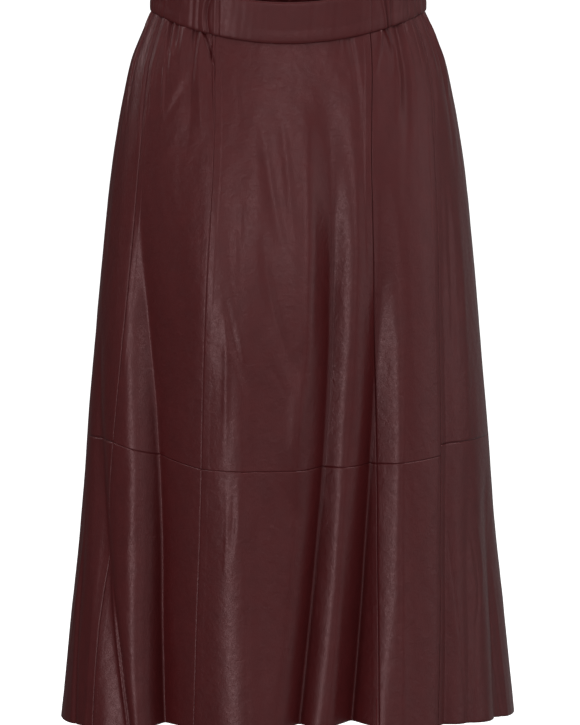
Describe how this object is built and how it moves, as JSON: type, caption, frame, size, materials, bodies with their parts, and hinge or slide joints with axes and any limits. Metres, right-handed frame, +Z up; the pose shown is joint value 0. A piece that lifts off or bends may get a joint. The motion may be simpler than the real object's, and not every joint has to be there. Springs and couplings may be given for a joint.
{
  "type": "leather skirt",
  "caption": "A-line midi skirt in smooth dark leather: gored and cross-seamed panels gathered into a part-elasticated waistband, open at waist and hem.",
  "frame": {"origin": "middle of the waistband ring, halfway up the band at its sides, where a waist holds the skirt", "axes": "+Z up, the front of the skirt faces -Y, the wearer's left side is +X"},
  "size_m": [0.4707, 0.3705, 0.7776],
  "materials": {
    "panel_leather": "smooth dark burgundy nappa with a soft satin sheen, fine grain and soft creases",
    "band_leather": "the same smooth dark burgundy nappa, folded double, flat in front and gathered elsewhere"
  },
  "bodies": {
    "root": {"waistband_front": "band_leather", "waistband_left": "band_leather", "waistband_right": "band_leather", "front_centre_upper": "panel_leather", "front_centre_lower": "panel_leather", "front_side_left_upper": "panel_leather", "front_side_left_lower": "panel_leather", "front_side_right_upper": "panel_leather", "front_side_right_lower": "panel_leather", "back_left_upper": "panel_leather", "back_left_lower": "panel_leather", "back_right_upper": "panel_leather", "back_right_lower": "panel_leather"}
  },
  "joints": []
}
